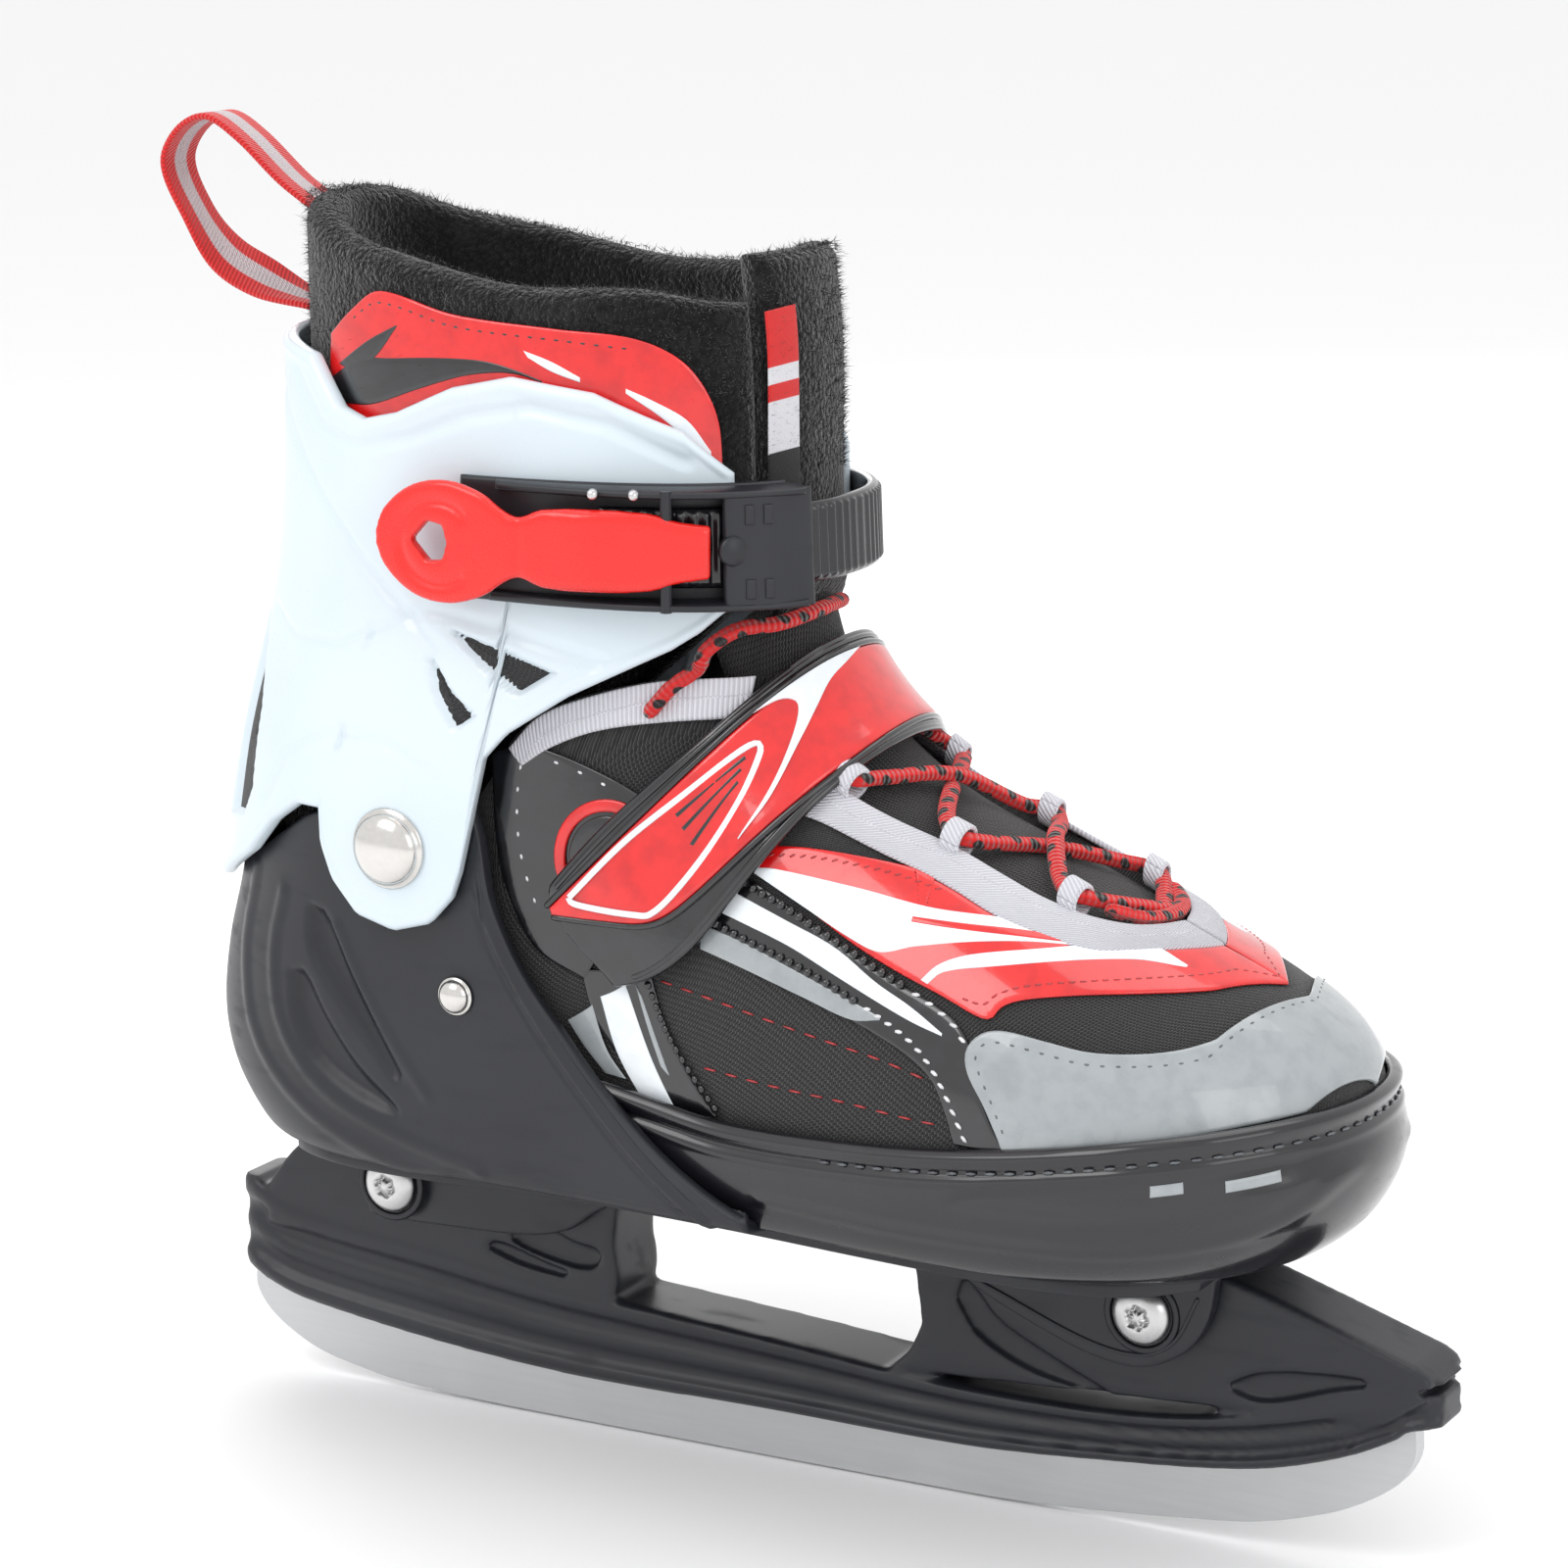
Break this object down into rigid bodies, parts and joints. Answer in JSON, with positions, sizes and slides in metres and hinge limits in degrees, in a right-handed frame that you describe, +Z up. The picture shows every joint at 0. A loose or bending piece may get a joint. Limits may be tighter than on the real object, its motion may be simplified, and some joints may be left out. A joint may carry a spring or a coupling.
{
  "type": "ice skate",
  "caption": "Child's size-adjustable ice skate: steel runner in a moulded holder, hard heel and toe shells, padded textile boot, hinged cuff with lever buckle and instep strap.",
  "frame": {"origin": "middle of the flat of the runner's lower face, on the ice", "axes": "+X towards the toe, +Y towards the inner (medial) side, +Z up"},
  "size_m": [0.3027, 0.1025, 0.2826],
  "materials": {
    "steel_runner": "brushed, ground edge",
    "bright_steel": "polished",
    "zinc_bolt": "bright zinc",
    "black_plastic": "satin moulded",
    "white_plastic": "glossy moulded",
    "red_plastic": "glossy moulded",
    "black_mesh": "open knit mesh",
    "black_plush": "short plush pile",
    "black_patent": "patent gloss",
    "red_patent": "patent gloss",
    "silver_patent": "metallic satin",
    "white_webbing": "woven tape",
    "red_webbing": "woven tape"
  },
  "bodies": {
    "frame": {"blade": "steel_runner", "blade_holder": "black_plastic", "chassis": "black_plastic", "rear_frame_bolt": "zinc_bolt", "rear_frame_nut": "zinc_bolt", "front_frame_bolt": "zinc_bolt", "front_frame_nut": "zinc_bolt", "footbed": "black_mesh", "liner_heel": "black_plush", "ankle_rivet_outer": "bright_steel", "ankle_rivet_inner": "bright_steel", "shell_rivet_outer": "bright_steel", "shell_rivet_inner": "bright_steel", "size_button_spring": "zinc_bolt"},
    "toe_box": {"toe_shell": "black_plastic", "upper": "black_mesh", "liner_toe": "black_plush", "tongue_lower": "black_plush", "strap_base": "red_patent", "toe_cap": "silver_patent", "eyestay_trim": "white_webbing", "vamp_overlay_outer": "red_patent", "vamp_overlay_inner": "red_patent", "ankle_patch_outer": "black_patent", "ankle_patch_inner": "black_patent", "lace": "red_webbing", "lace_loop_outer_1": "white_webbing", "lace_loop_outer_2": "white_webbing", "lace_loop_outer_3": "white_webbing", "lace_loop_inner_1": "white_webbing", "lace_loop_inner_2": "white_webbing", "lace_loop_inner_3": "white_webbing", "strap_anchor": "black_patent"},
    "instep_strap": {"instep_strap": "red_patent"},
    "size_button": {"size_button": "red_plastic"},
    "cuff": {"cuff": "white_plastic", "collar": "black_plush", "collar_panel_outer": "red_patent", "collar_panel_inner": "red_patent", "tongue_upper": "black_plush", "pull_loop": "red_webbing", "buckle_base": "black_plastic", "buckle_rivet": "zinc_bolt", "lever_pin": "zinc_bolt", "ladder_strap": "black_plastic", "ladder_rivet": "bright_steel"},
    "lever": {"buckle_lever": "red_plastic"}
  },
  "joints": [
    {"name": "cuff_flex", "type": "hinge", "parent": "frame", "child": "cuff", "pos_m": [-0.069, 0, 0.136], "axis": [0, 1, 0], "range_deg": [0, 6]},
    {"name": "buckle_open", "type": "hinge", "parent": "cuff", "child": "lever", "pos_m": [-0.00604, -0.04076, 0.202], "axis": [0, 0, 1], "range_deg": [0, 100]},
    {"name": "toe_adjust", "type": "slide", "parent": "frame", "child": "toe_box", "axis": [1, 0, 0], "range_m": [0, 0.02]},
    {"name": "instep_strap_open", "type": "hinge", "parent": "toe_box", "child": "instep_strap", "pos_m": [0.01754, -0.02314, 0.16634], "axis": [-0.7547, 0, 0.6561], "range_deg": [0, 75]},
    {"name": "size_button_press", "type": "slide", "parent": "frame", "child": "size_button", "axis": [0, -1, 0], "range_m": [0, 0.0024], "stiffness_N_per_m": 600, "springref_m": -0.0008, "deforming": ["size_button_spring"]}
  ]
}
